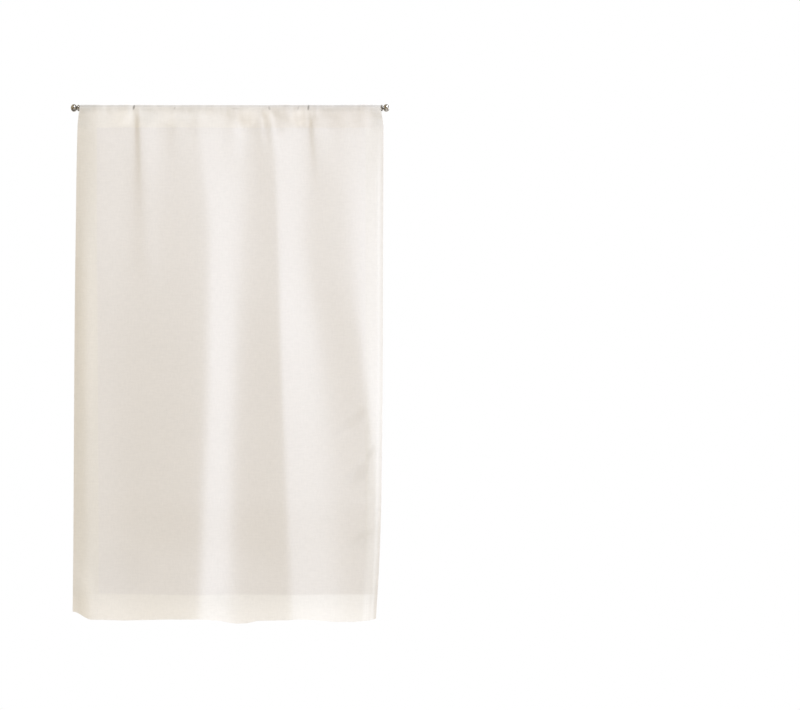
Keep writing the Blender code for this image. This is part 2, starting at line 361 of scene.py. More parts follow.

# Painted soft shades and painted light places, on the cloth's face alone: middle, half sizes, how
# far each leans to the right as it rises, and how dark it is, or how light where that is negative.
# All but the last two are in millimetres.
SOFT_SHADES = (
    # x, z, half width, half height, lean, darkness
    # Painted shade in the tucks on the rod
    (-191.5, 0.5, 2.8, 6.5, 0.2, 0.60),
    (157, 0.0, 2.6, 7.0, 0.1, 0.50),
    (-110, -1.0, 2.4, 4.0, 0.3, 0.20),
    (79, -1.5, 3.2, 5.0, -0.2, 0.28),
    (12, -2.0, 12.0, 2.5, 0.0, 0.12),
    (137, -0.5, 2.2, 6.0, 0.3, 0.18),
    # Painted shade in the drag wrinkles
    (242, -628, 22.0, 30.0, 1.1, 0.035),
    (256, -732, 30.0, 30.0, 0.6, 0.05),
    (281, -690, 8.0, 24.0, 0.4, 0.05),
    (262, -864, 28.0, 26.0, 0.8, 0.04),
    # Painted light places in the pocket
    (34, -19, 26.0, 25.0, 0.2, -0.09),
    (138, -19, 22.0, 24.0, 0.3, -0.10),
    (-214, -20, 26.0, 24.0, 0.2, -0.06),
    (-119, -20, 20.0, 24.0, 0.0, -0.05),
    (73, -18, 14.0, 22.0, 0.1, -0.07),
    (150, -31, 16.0, 10.0, 0.4, -0.07),
    (42, -32, 20.0, 9.0, 0.2, -0.035),
    (-208, -32, 20.0, 9.0, 0.3, -0.035),
    # Painted light places along the left hem
    (-284, -430, 26.0, 240.0, 0.0, -0.045),
    (-288, -970, 18.0, 70.0, 0.0, -0.05),
    # Wide painted shades in the bottom hem, in the pocket and at the lower left
    (-22, -1000, 46.0, 44.0, 0.0, 0.05),
    (-162, -15, 24.0, 22.0, 0.0, 0.08),
    (-88, -13, 56.0, 24.0, 0.0, 0.04),
    (-286, 0, 38.0, 13.0, 0.0, 0.08),
    (200, 1, 116.0, 12.0, 0.0, 0.06),
    (-224, -926, 84.0, 60.0, 0.0, 0.03),
)
# How far a surface has to turn to the front to be fully on the cloth's face
FACING_FRONT = 0.2

# The sewing thread: its darker and its lighter colour, and how often they change in a metre
THREAD_COLOURS = ((0.72, 0.69, 0.64, 1.0), (0.80, 0.775, 0.73, 1.0))
THREAD_TWIST = 900.0

# The nickel: the dark and the bright colour of the reflections painted into it, how many cloudy
# patches there are in a metre, the shares between which they change colour, its least roughness and
# how much the patches add, and its fine scratches, which run along the rod
NICKEL_COLOURS = ((0.10, 0.092, 0.08, 1.0), (0.50, 0.475, 0.43, 1.0))
NICKEL_PATCHES = 230.0
NICKEL_PATCH_EDGE = (0.38, 0.62)
NICKEL_ROUGHNESS = 0.20
NICKEL_PATCH_ROUGHNESS = 0.16
NICKEL_SCRATCHES = 900.0
NICKEL_SCRATCH_SIZES = (0.15, 1.0, 1.0)

# The floor's darker and lighter colour, and how many grains there are in a metre
FLOOR_COLOURS = ((0.80, 0.79, 0.77, 1.0), (0.84, 0.83, 0.81, 1.0))
FLOOR_GRAIN = 30.0

# Camera: its distance from the rod's plane, and the size of one picture element there
CAMERA_DISTANCE = 3.2
PICTURE_SIZE = (800, 710)
PICTURE_ELEMENT = 2.0 * MM
ROD_MIDDLE_IN_PICTURE = (230.1, 108)
SENSOR_WIDTH = 36.0

# Light: a soft key from the upper right, and an even warm light from all round
KEY_PLACE = (3.67, -2.12, 3.74)
KEY_SIZE = 1.7
KEY_POWER = 556.0
KEY_COLOUR = (0.70, 0.797, 1.0)
SURROUND_LIGHT = (0.66, 0.563, 0.40, 1.0)
# A weak light behind shows the folds from there
BACK_PLACE = (2.4, 2.2, 0.3)
BACK_SIZE = 1.0
BACK_POWER = 50.0

# The floor: a round one, well below the curtain
FLOOR_RADIUS = 3.5
FLOOR_SIDES = 96
FLOOR_BELOW_HEM = 1.02


# The shape of the cloth

def smooth(t):
    """0 to 1 with flat ends."""
    t = np.clip(t, 0.0, 1.0)
    return t * t * (3 - 2 * t)


def mix(a, b, share):
    """a where share is 0, b where it is 1."""
    return a + (b - a) * share


def soft_ramp(a, rounding):
    """a where it is positive, 0 where it is negative, with a rounded corner between."""
    return 0.5 * (a + np.hypot(a, rounding))


def level_slopes(values):
    """The slopes of a smooth curve through the values at LEVELS that never overshoots them."""
    rises = np.diff(values) / np.diff(LEVELS)
    products = rises[:-1] * rises[1:]
    inner = [2 * p / (a + b) if p > 0 else 0.0 for p, a, b in zip(products, rises, rises[1:])]
    return [rises[0], *inner, rises[-1]]


def at_level(values, below):
    """The value at a distance below the rod, on a smooth curve through the values at LEVELS."""
    values = np.array(values, float) * MM
    slopes = level_slopes(values)
    i = int(np.clip(np.searchsorted(LEVELS, below) - 1, 0, len(LEVELS) - 2))
    span = LEVELS[i + 1] - LEVELS[i]
    t = (below - LEVELS[i]) / span
    return (
        values[i] * (1 + 2 * t) * (1 - t) ** 2
        + values[i + 1] * (3 - 2 * t) * t**2
        + slopes[i] * span * t * (1 - t) ** 2
        + slopes[i + 1] * span * (t - 1) * t**2
    )


def line_places(below):
    """Where each long fold line lies at a distance below the rod."""
    return np.array([at_level(values, below) for values in LINE_PLACES.values()])


def long_folds(x, below):
    """How far forward the long folds bring the cloth: straight flanks, rounded at each line."""
    places = line_places(below)
    depths = np.array([at_level(values, below) for values in LINE_DEPTHS.values()])
    slopes = np.diff(depths) / np.diff(places)
    forward = depths[0] + slopes[0] * (x - places[0])
    for i, roundings in enumerate(LINE_ROUND.values()):
        bend = slopes[i + 1] - slopes[i]
        forward = forward + bend * soft_ramp(x - places[i + 1], at_level(roundings, below))
    return forward


def gathers(x, below, table=GATHERS):
    """How far forward the short gathers under the rod bring the cloth."""
    forward = np.zeros_like(x)
    for rod_x, end_x, length, height, left_side, right_side in table:
        share = min(below / (length * MM), 1.0)
        off = x - mix(rod_x, end_x, share) * MM
        width = np.where(off < 0, left_side, right_side) * mix(1.0, GATHER_SPREAD, share) * MM
        forward += height * MM * (1 - smooth(share)) * np.exp(-((off / width) ** 2))
    return forward


def uneven_row(spacing, seed):
    """Places across the cloth at about that spacing, each with a height from -1 to 1."""
    chance = random.Random(seed)
    places = []
    x = LINE_PLACES["left edge"][0] * MM + spacing
    while x < LINE_PLACES["right edge"][0] * MM - spacing:
        places.append((x, chance.uniform(*UNEVEN_HEIGHT) * chance.choice((-1, 1))))
        x += spacing * chance.uniform(*UNEVEN_SPACING)
    return places


RUCHES = uneven_row(RUCHE_SPACING, RUCHE_SEED)
PUCKERS = uneven_row(PUCKER_SPACING, PUCKER_SEED)


def ruches(x, below):
    """The finest ruches of the cloth on the rod."""
    forward = np.zeros_like(x)
    for middle, height in RUCHES:
        forward += RUCHE_HEIGHT * height * np.exp(-(((x - middle) / RUCHE_WIDTH) ** 2))
    return forward * (1 - smooth(below / RUCHE_LENGTH))


def puckers(x, below):
    """The small puckers along the pocket's seam."""
    above = POCKET_SEAM - below
    reach_of_pucker = PUCKER_ABOVE if above > 0 else PUCKER_UNDER
    share = 1 - smooth(abs(above) / reach_of_pucker)
    forward = np.zeros_like(x)
    if share == 0:
        return forward
    for middle, height in PUCKERS:
        middle = middle + PUCKER_LEAN * above
        forward += height * np.exp(-(((x - middle) / PUCKER_WIDTH) ** 2))
    return forward * PUCKER_HEIGHT * share


def drags(x, below):
    """The soft fold beside the left tuck and the drag wrinkles near the right edge."""
    forward = np.zeros_like(x)
    for start_x, start_below, end_x, end_below, width, height in DRAGS:
        run_x, run_below = end_x - start_x, end_below - start_below
        length = math.hypot(run_x, run_below)
        off_x, off_below = x / MM - start_x, below / MM - start_below
        along = (off_x * run_x + off_below * run_below) / length**2
        across = (off_x * run_below - off_below * run_x) / length
        ends = np.exp(-((2 * along - 1) ** 4) / DRAG_FADE)
        forward += height * MM * ends * np.exp(-((across / width) ** 2))
    return forward


def corner_share(x, below):
    """1 at the lower left corner, falling to 0 across its width and height."""
    edge = at_level(LINE_PLACES["left edge"], below)
    across = smooth((edge + CORNER_WIDTH - x) / CORNER_WIDTH)
    return across * smooth((below - DROP + CORNER_HEIGHT) / CORNER_HEIGHT)


def right_edge_set_back(x, below):
    """How far back the groove and the turned strip inside the right edge lie."""
    edge = at_level(LINE_PLACES["right edge"], below)
    depth = EDGE_GROOVE_DEPTH * smooth(below / EDGE_GROOVE_FULL)
    groove = depth * np.exp(-(((x - edge + EDGE_GROOVE_INSET) / EDGE_GROOVE_WIDTH) ** 2))
    turned = smooth((x - edge + TURNED_STRIP_START) / (TURNED_STRIP_START - TURNED_STRIP_END))
    grown = smooth((below - TURNED_STRIP_TOP) / (TURNED_STRIP_FULL - TURNED_STRIP_TOP))
    return groove + TURNED_STRIP_DEPTH * turned * grown


def creases(x, below):
    """What is added here to the model's own folds."""
    added = gathers(x, below, FINE_GATHERS) + ruches(x, below) + puckers(x, below)
    return added + drags(x, below) - right_edge_set_back(x, below)


def doubled(x, below, layer="face"):
    """1 where a hem doubles the cloth, 0 where it is one layer."""
    left = smooth((LEFT_HEM_EDGE - x) / HEM_EDGE_BLEND)
    right = smooth((x - RIGHT_HEM_EDGE) / HEM_EDGE_BLEND)
    turned = POCKET_TURNED_EDGE if layer == "flap" else HEM_STITCH
    return np.maximum(np.maximum(left, right), float(below >= turned))


def thickness(x, below, layer="face"):
    """The cloth's thickness, of one layer or of a hem."""
    return mix(CLOTH_THICK, HEM_THICK, doubled(x, below, layer))


def bumps(x):
    """How far the bunched cloth stands off the rod."""
    rod_x, stand_off = np.array(STAND_OFF).T * MM
    return np.interp(x, rod_x, stand_off)


def reach(x):
    """The cloth's outer distance from the rod's axis where it passes over the rod."""
    bunched = GATHER_OVER_ROD * gathers(x, 0.0) + CREASE_OVER_ROD * creases(x, 0.0)
    slack = soft_ramp(bunched + bumps(x), SLACK_ROUND)
    left = smooth((LEFT_HEM_EDGE + HEM_OVER_ROD - x) / HEM_OVER_ROD)
    right = smooth((x - RIGHT_HEM_EDGE + HEM_OVER_ROD) / HEM_OVER_ROD)
    layers = mix(CLOTH_THICK, HEM_THICK, np.maximum(left, right))
    return ROD_RADIUS + REST_GAP + layers + slack


def face_forward(x, below):
    """How far forward the cloth's face stands, from the rod down to the bottom edge."""
    hanging = long_folds(x, below) + gathers(x, below) + creases(x, below)
    hanging = hanging - CORNER_BACK * corner_share(x, below)
    hanging = hanging + bumps(x) * (1 - smooth(below / BUMPS_END))
    free_x, free_below = np.array(HANGS_FREE).T * MM
    return mix(reach(x), hanging, smooth(below / np.interp(x, free_x, free_below)))


def flap_forward(x, below):
    """How far forward the outer side of the pocket's back layer stands: behind the rod, then
    closing on the front layer."""
    front = thickness(x, below)
    back = thickness(x, below, "flap")
    open_gap = 2 * reach(x) - front - back
    closed = smooth((below - POCKET_TURNS_IN) / (POCKET_CLOSES - POCKET_TURNS_IN))
    return face_forward(x, below) - front - back - mix(open_gap, LAYER_GAP, closed)


def bottom_lift(x, below):
    """How far the bottom edge is lifted off a level line, growing from the hem's stitching."""
    lift_x, lifts = np.array(BOTTOM_LIFT).T * MM
    share = smooth((below - HEM_STITCH) / (DROP - HEM_STITCH))
    return share * np.interp(x, lift_x, lifts) + CORNER_RISE * corner_share(x, below)


def guide_place(name, below):
    """Where a guide line of the grid lies."""
    fixed = {"left hem": LEFT_HEM_EDGE, "right hem": RIGHT_HEM_EDGE}
    return fixed[name] if name in fixed else at_level(LINE_PLACES[name], below)


def columns_at(below):
    """The places of the grid's columns, which follow the guide lines."""
    guides = [guide_place(name, below) for name in GUIDES]
    spans = [
        np.linspace(start, end, count, endpoint=False)
        for count, start, end in zip(COLUMNS, guides, guides[1:])
    ]
    return np.append(np.concatenate(spans), guides[-1])


def grid_rows():
    """Each row of the cloth as (layer, distance below the rod, turn about the rod), from the
    bottom edge up the face, over the rod and down the back layer to its sewn edge."""
    pocket = POCKET_SEAM * np.arange(1, POCKET_ROWS + 1) / POCKET_ROWS
    steps = np.arange(1, FACE_ROWS + 1) / FACE_ROWS
    face = mix(POCKET_SEAM, HEM_STITCH - HEM_EDGE_BLEND, steps**FACE_ROW_POWER)
    hem = np.linspace(HEM_STITCH, DROP, HEM_ROWS)
    flap = POCKET_SEAM * np.arange(1, FLAP_ROWS + 1) / FLAP_ROWS
    rows = [("face", below, 0.0) for below in np.concatenate([pocket, face, hem])[::-1]]
    rows += [("over", 0.0, turn) for turn in np.linspace(0.0, math.pi, OVER_ROD_STEPS + 1)]
    rows += [("flap", below, 0.0) for below in flap]
    return rows


def row_points(layer, below, turn):
    """The cloth's outer surface along one row, as rows of x, y and z."""
    x = columns_at(below)
    if layer == "over":
        return np.array([x, -reach(x) * math.cos(turn), reach(x) * math.sin(turn)])
    if layer == "flap":
        return np.array([x, -flap_forward(x, below), np.full_like(x, -below)])
    return np.array([x, -face_forward(x, below), bottom_lift(x, below) - below])


def row_threads(points, layer, below, turn):
    """Each point's place on the flat cloth, as (across, up the cloth), measured along it."""
    steps = np.hypot(np.diff(points[0]), np.diff(points[1]))
    across = np.concatenate([[0.0], np.cumsum(steps)])
    across -= np.interp(0.0, points[0], across)
    over = ROD_RADIUS * math.pi
    up = {"face": -below, "over": ROD_RADIUS * turn, "flap": over + below}[layer]
    return across, np.full_like(across, up)


def new_object(name, bm, material):
    """A finished mesh as an object that rides on the curtain's body."""
    mesh = bpy.data.meshes.new(name)
    bm.to_mesh(mesh)
    bm.free()
    mesh.shade_smooth()
    mesh.materials.append(material)
    obj = bpy.data.objects.new(name, mesh)
    bpy.context.scene.collection.objects.link(obj)
    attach(obj, "root")
    return obj


def make_cloth(material, rows, points):
    """The cloth as one thin sheet, turned over the rod at the top. Its outer surface starts as a
    flat grid one metre wide and high, and its thickness grows inwards from there."""
    width, height = sum(COLUMNS), len(rows) - 1
    threads = [row_threads(found, *row) for found, row in zip(points, rows)]
    weights = [doubled(found[0], below, layer) for found, (layer, below, _) in zip(points, rows)]
    bm = bmesh.new()
    bmesh.ops.create_grid(bm, x_segments=width, y_segments=height, size=0.5)
    flat_place = bm.loops.layers.uv.new("flat cloth")
    group_layer = bm.verts.layers.deform.new()
    at = {}
    for vertex in bm.verts:
        column = round((vertex.co.x + 0.5) * width)
        row = round((vertex.co.y + 0.5) * height)
        at[vertex] = (row, column)
        vertex[group_layer][0] = float(weights[row][column])
    for face in bm.faces:
        for loop in face.loops:
            row, column = at[loop.vert]
            loop[flat_place].uv = (threads[row][0][column], threads[row][1][column])
    for vertex, (row, column) in at.items():
        vertex.co = points[row][:, column]
    for edge in bm.edges:
        edge.smooth = not edge.is_boundary
    bm.normal_update()
    cloth = new_object("hanging_cloth", bm, material)
    group = cloth.vertex_groups.new(name="double cloth")
    shell = cloth.modifiers.new("cloth thickness", "SOLIDIFY")
    shell.thickness = HEM_THICK
    shell.offset = -1.0
    shell.use_even_offset = True
    shell.vertex_group = group.name
    shell.thickness_vertex_group = CLOTH_THICK / HEM_THICK
    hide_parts("curtain")
    return cloth


# Sewing

def level_seam(below, behind):
    """Places along a level row of stitches, and the cloth's direction downwards there."""
    edges = [at_level(LINE_PLACES[name], below) for name in ("left edge", "right edge")]
    x = np.arange(edges[0] + STITCH_PITCH, edges[1] - STITCH_PITCH / 2, STITCH_PITCH)

    def surface(at):
        forward = face_forward(x, at)
        if behind and below <= POCKET_SEAM:
            forward = flap_forward(x, at)
        elif behind:
            forward = forward - thickness(x, below)
        return np.array([x, -forward, bottom_lift(x, at) - at]).T

    places = surface(below)
    return places, surface(below + SAMPLE_STEP) - surface(below - SAMPLE_STEP)


def upright_seam(rows, points, x, behind):
    """Places down an upright row of stitches, and the cloth's direction to the right there."""
    face = [(row[1], found) for row, found in zip(rows, points) if row[0] == "face"][::-1]
    belows = [below for below, _ in face]
    downs = np.arange(POCKET_SEAM + STITCH_PITCH, DROP - STITCH_PITCH / 2, STITCH_PITCH)
    sides = []
    for place in (x - SAMPLE_STEP, x, x + SAMPLE_STEP):
        heights = [[np.interp(place, found[0], found[i]) for _, found in face] for i in (1, 2)]
        y, z = (np.interp(downs, belows, values) for values in heights)
        sides.append(np.array([np.full_like(y, place), y, z]).T)
    places = sides[1]
    if behind:
        places[:, 1] += HEM_THICK
    return places, sides[2] - sides[0]


def add_stitches(bm, places, sideways, behind):
    """Stitches from place to place, each half sunk in the cloth. sideways runs across the seam."""
    sized = mathutils.Matrix.Diagonal((STITCH_LENGTH, STITCH_WIDTH, STITCH_HEIGHT, 1.0))
    for place, along, across in zip(places, np.gradient(places, axis=0), sideways):
        along = mathutils.Vector(along).normalized()
        outward = along.cross(mathutils.Vector(across)).normalized()
        if (outward.y > 0) != behind:
            outward = -outward
        across = outward.cross(along)
        turned = mathutils.Matrix((along, across, outward)).transposed().to_4x4()
        moved = mathutils.Matrix.Translation(place)
        bmesh.ops.create_icosphere(bm, subdivisions=1, radius=0.5, matrix=moved @ turned @ sized)


def make_stitches(name, material, seam):
    """A row of stitches on both sides of the cloth. seam gives it for one side."""
    bm = bmesh.new()
    for behind in (False, True):
        add_stitches(bm, *seam(behind), behind)
    stitches = new_object(name, bm, material)
    return stitches


# Finials

def finial_profile():
    """(distance out from the rod's end, radius) from the flat that meets the rod to the tip."""
    knob_middle = FINIAL_LENGTH - KNOB_HALF_LENGTH
    neck_angle = math.acos(NECK_RADIUS / KNOB_RADIUS)
    neck_top = knob_middle - KNOB_HALF_LENGTH * math.sin(neck_angle)
    shoulder = COLLAR_RADIUS - COLLAR_ROUND
    profile = [(0.0, 0.0), (0.0, shoulder)]
    for step in range(1, COVE_STEPS + 1):
        angle = math.pi / 2 * step / COVE_STEPS
        radius = shoulder + COLLAR_ROUND * math.sin(angle)
        profile.append((COLLAR_ROUND * (1 - math.cos(angle)), radius))
    for step in range(COVE_STEPS + 1):
        angle = math.pi / 2 * step / COVE_STEPS
        radius = shoulder + COLLAR_ROUND * math.cos(angle)
        profile.append((COLLAR_LENGTH - COLLAR_ROUND * (1 - math.sin(angle)), radius))
    for step in range(1, COVE_STEPS + 1):
        share = 1 - step / COVE_STEPS
        radius = mix(NECK_RADIUS, shoulder, share**COVE_POWER)
        profile.append((mix(neck_top, COLLAR_LENGTH, share), radius))
    for step in range(1, KNOB_ARC_STEPS + 1):
        angle = mix(-neck_angle, math.pi / 2, step / KNOB_ARC_STEPS)
        radius = KNOB_RADIUS * math.cos(angle)
        profile.append((knob_middle + KNOB_HALF_LENGTH * math.sin(angle), radius))
    profile[-1] = (FINIAL_LENGTH, 0.0)
    return profile


def make_finial(name, node, side, material):
    """A turned knob, neck and collar at the rod's end. side is 1 at the right end, -1 at the
    left."""
    bm = bmesh.new()
    end = ROD_HALF_LENGTH + SEAT_GAP
    ring = [bm.verts.new((side * (end + out), 0.0, radius)) for out, radius in finial_profile()]
    line = [bm.edges.new(pair) for pair in zip(ring, ring[1:])]
    bmesh.ops.spin(
        bm,
        geom=ring + line,
        axis=(1.0, 0.0, 0.0),
        cent=(0.0, 0.0, 0.0),
        angle=2 * math.pi,
        steps=FINIAL_SIDES,
        use_merge=True,
    )
    bmesh.ops.remove_doubles(bm, verts=bm.verts, dist=MERGE_DISTANCE)
    bmesh.ops.recalc_face_normals(bm, faces=bm.faces)
    finial = new_object(name, bm, material)
    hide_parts(node)
    return finial


# Materials

def new_material(name):
    """A material with its node tree and its shader."""
    material = bpy.data.materials.new(name)
    material.use_nodes = True
    tree = material.node_tree
    return material, tree, tree.nodes["Principled BSDF"]


def plug(tree, socket, value):
    """Gives a socket a value, or the output of another node."""
    if isinstance(value, bpy.types.NodeSocket):
        tree.links.new(value, socket)
    else:
        socket.default_value = value


def calculate(tree, operation, *values):
    made = tree.nodes.new("ShaderNodeMath")
    made.operation = operation
    for socket, value in zip(made.inputs, values):
        plug(tree, socket, value)
    return made.outputs[0]


def step_between(tree, value, low, high, start=0.0, end=1.0):
    """A smooth change from start to end as value goes from low to high."""
    made = tree.nodes.new("ShaderNodeMapRange")
    made.interpolation_type = "SMOOTHSTEP"
    for name, given in (
        ("Value", value),
        ("From Min", low),
        ("From Max", high),
        ("To Min", start),
        ("To Max", end),
    ):
        plug(tree, made.inputs[name], given)
    return made.outputs["Result"]


def noise(tree, vector, scale, sizes=(1.0, 1.0, 1.0), detail=2.0):
    """Noise from 0 to 1 that is stretched by sizes."""
    spread = tree.nodes.new("ShaderNodeMapping")
    spread.inputs["Scale"].default_value = sizes
    tree.links.new(vector, spread.inputs["Vector"])
    made = tree.nodes.new("ShaderNodeTexNoise")
    made.inputs["Scale"].default_value = scale
    made.inputs["Detail"].default_value = detail
    tree.links.new(spread.outputs["Vector"], made.inputs["Vector"])
    return made.outputs["Fac"]


def separate(tree, vector):
    made = tree.nodes.new("ShaderNodeSeparateXYZ")
    tree.links.new(vector, made.inputs[0])
    return made.outputs


def blend_colours(tree, share, first, second):
    made = tree.nodes.new("ShaderNodeMix")
    made.data_type = "RGBA"
    plug(tree, made.inputs["Factor"], share)
    plug(tree, made.inputs["A"], first)
    plug(tree, made.inputs["B"], second)
    return made.outputs["Result"]


def multiply_colours(tree, first, second):
    made = tree.nodes.new("ShaderNodeVectorMath")
    made.operation = "MULTIPLY"
    plug(tree, made.inputs[0], first)
    plug(tree, made.inputs[1], second)
    return made.outputs["Vector"]


def scale_colour(tree, colour, factor):
    made = tree.nodes.new("ShaderNodeVectorMath")
    made.operation = "SCALE"
    plug(tree, made.inputs[0], colour)
    plug(tree, made.inputs["Scale"], factor)
    return made.outputs["Vector"]


def soft_shade(tree, x, z, middle_x, middle_z, half_width, half_height, lean, darkness):
    """1 outside a soft shade, changing to 1 - darkness in its middle."""
    up = calculate(tree, "SUBTRACT", z, middle_z * MM)
    right = calculate(tree, "SUBTRACT", x, middle_x * MM)
    right = calculate(tree, "MULTIPLY_ADD", up, -lean, right)
    far = [
        calculate(tree, "POWER", calculate(tree, "DIVIDE", off, half * MM), 2.0)
        for off, half in ((right, half_width), (up, half_height))
    ]
    return step_between(tree, calculate(tree, "ADD", *far), 0.0, 1.0, 1.0 - darkness, 1.0)


def cloth_material():
    """Sheer cloth that is lighter and creamier where hems and pocket double it."""
    material, tree, shader = new_material("cream semi-sheer cloth")
    flat = tree.nodes.new("ShaderNodeUVMap")
    flat.uv_map = "flat cloth"
    across, up, _ = separate(tree, flat.outputs["UV"])
    place = tree.nodes.new("ShaderNodeTexCoord")
    x, _, z = separate(tree, place.outputs["Object"])

    # Layers: the side hems, the pocket with its back layer, and the bottom hem
    low, high = -LAYER_EDGE, LAYER_EDGE
    left_hem = step_between(tree, x, LEFT_HEM_EDGE + low, LEFT_HEM_EDGE + high, 1.0, 0.0)
    right_hem = step_between(tree, x, RIGHT_HEM_EDGE + low, RIGHT_HEM_EDGE + high)
    pocket = step_between(tree, up, -POCKET_SEAM + low, -POCKET_SEAM + high)
    hem = step_between(tree, up, -HEM_STITCH - HEM_SOFTNESS, -HEM_STITCH + high, 1.0, 0.0)
    sides = calculate(tree, "MAXIMUM", left_hem, right_hem)

    # Weave, slubs in both directions, and a faint mottling
    warp = calculate(tree, "SINE", calculate(tree, "MULTIPLY", across, math.pi / THREAD_PITCH))
    weft = calculate(tree, "SINE", calculate(tree, "MULTIPLY", up, math.pi / THREAD_PITCH))
    weave = calculate(tree, "MULTIPLY", warp, weft)
    slub_across = noise(tree, flat.outputs["UV"], 1.0, (*SLUB_SCALES, 1.0))
    slub_down = noise(tree, flat.outputs["UV"], 1.0, (*SLUB_SCALES[::-1], 1.0))
    mottle = noise(tree, flat.outputs["UV"], MOTTLE_SCALE)
    slubs = calculate(tree, "ADD", slub_across, slub_down)
    shade = calculate(tree, "MULTIPLY_ADD", slubs, SLUB_SHADE, CLOTH_SHADE)
    shade = calculate(tree, "MULTIPLY_ADD", mottle, MOTTLE_SHADE, shade)
    shade = calculate(tree, "MULTIPLY_ADD", weave, WEAVE_SHADE, shade)
    hem_rise = step_between(tree, up, -DROP, -HEM_STITCH, HEM_LIGHTENS, 0.0)
    shade = calculate(tree, "ADD", shade, hem_rise)

    # The rod that shows through, the painted shade on its top, and the painted soft shades and
    # light places
    uneven = noise(tree, place.outputs["Object"], 1.0, OVER_ROD_PATCHES)
    uneven = calculate(tree, "SUBTRACT", uneven, NOISE_MIDDLE)
    on_front = calculate(tree, "MULTIPLY_ADD", uneven, OVER_ROD_UNEVEN, OVER_ROD_FRONT)
    fades_out = OVER_ROD_FOOT - OVER_ROD_FADES
    on_rod = step_between(tree, z, fades_out, OVER_ROD_FOOT, 1.0, on_front)
    # Painted shade: the cloth's top over the rod is darker, and lighter again along its top edge
    on_top = step_between(tree, z, OVER_ROD_FOOT, ROD_RADIUS, 1.0, OVER_ROD_TOP / OVER_ROD_FRONT)
    low, high = ROD_RADIUS - TOP_EDGE_CHANGE, ROD_RADIUS + TOP_EDGE_CHANGE
    on_edge = step_between(tree, z, low, high, 1.0, TOP_EDGE_LIGHTENS)
    on_top = calculate(tree, "MULTIPLY", on_top, on_edge)
    painted_shades = soft_shade(tree, x, z, *SOFT_SHADES[0])
    for sizes in SOFT_SHADES[1:]:
        painted_shades = calculate(tree, "MULTIPLY", painted_shades, soft_shade(tree, x, z, *sizes))
    _, facing, _ = separate(tree, place.outputs["Normal"])
    in_front = step_between(tree, facing, -FACING_FRONT, FACING_FRONT, 1.0, 0.0)
    dark = calculate(tree, "MULTIPLY", calculate(tree, "SUBTRACT", 1.0, painted_shades), in_front)
    light_left = calculate(tree, "MULTIPLY", on_rod, on_top)
    not_dark = calculate(tree, "SUBTRACT", 1.0, dark)
    light_left = calculate(tree, "MULTIPLY", light_left, not_dark)
    shade = calculate(tree, "MULTIPLY", shade, light_left)

    # The colour of each layer, from the left side to the right
    to_right = step_between(tree, x, -ROD_HALF_LENGTH, ROD_HALF_LENGTH)
    pocket_cloth = blend_colours(tree, to_right, POCKET_LEFT, POCKET_RIGHT)
    hem_cloth = blend_colours(tree, to_right, BOTTOM_HEM_LEFT, BOTTOM_HEM_RIGHT)
    side_cloth = blend_colours(tree, to_right, SIDE_HEM_LEFT, SIDE_HEM_RIGHT)
    colour = blend_colours(tree, sides, SINGLE_CLOTH, side_cloth)
    left_crossed = step_between(tree, x, LEFT_HEM_EDGE - SIDE_HEM_CROSSING, LEFT_HEM_EDGE)
    right_crossed = step_between(
        tree, x, RIGHT_HEM_EDGE, RIGHT_HEM_EDGE + SIDE_HEM_CROSSING, 1.0, 0.0
    )
    inside = calculate(tree, "MULTIPLY", left_crossed, right_crossed)
    colour = blend_colours(tree, calculate(tree, "MULTIPLY", pocket, inside), colour, pocket_cloth)
    colour = blend_colours(tree, calculate(tree, "MULTIPLY", hem, inside), colour, hem_cloth)
    # Painted shade is tinted towards brown
    colour = multiply_colours(tree, colour, blend_colours(tree, light_left, SHADE_BROWN, WHITE))
    tree.links.new(scale_colour(tree, colour, shade), shader.inputs["Base Color"])
    shader.inputs["Roughness"].default_value = 0.9
    shader.inputs["Specular IOR Level"].default_value = 0.25
    shader.inputs["Sheen Weight"].default_value = 0.12
    shader.inputs["Sheen Roughness"].default_value = 0.5

    relief = calculate(tree, "MULTIPLY_ADD", slubs, SLUB_RELIEF, weave)
    bump = tree.nodes.new("ShaderNodeBump")
    bump.inputs["Strength"].default_value = 0.25
    bump.inputs["Distance"].default_value = 0.15 * MM
    tree.links.new(relief, bump.inputs["Height"])
    tree.links.new(bump.outputs["Normal"], shader.inputs["Normal"])

    through = tree.nodes.new("ShaderNodeBsdfTranslucent")
    through.inputs["Color"].default_value = SINGLE_CLOTH
    both = tree.nodes.new("ShaderNodeMixShader")
    both.inputs["Fac"].default_value = SHEERNESS
    tree.links.new(shader.outputs["BSDF"], both.inputs[1])
    tree.links.new(through.outputs["BSDF"], both.inputs[2])
    tree.links.new(both.outputs["Shader"], tree.nodes["Material Output"].inputs["Surface"])
    return material


def thread_material():
    """Matt cream thread, a little uneven along its twist."""
    material, tree, shader = new_material("cream sewing thread")
    place = tree.nodes.new("ShaderNodeTexCoord")
    twist = noise(tree, place.outputs["Object"], THREAD_TWIST)
    colour = blend_colours(tree, twist, *THREAD_COLOURS)
    tree.links.new(colour, shader.inputs["Base Color"])
    shader.inputs["Roughness"].default_value = 0.7
    return material


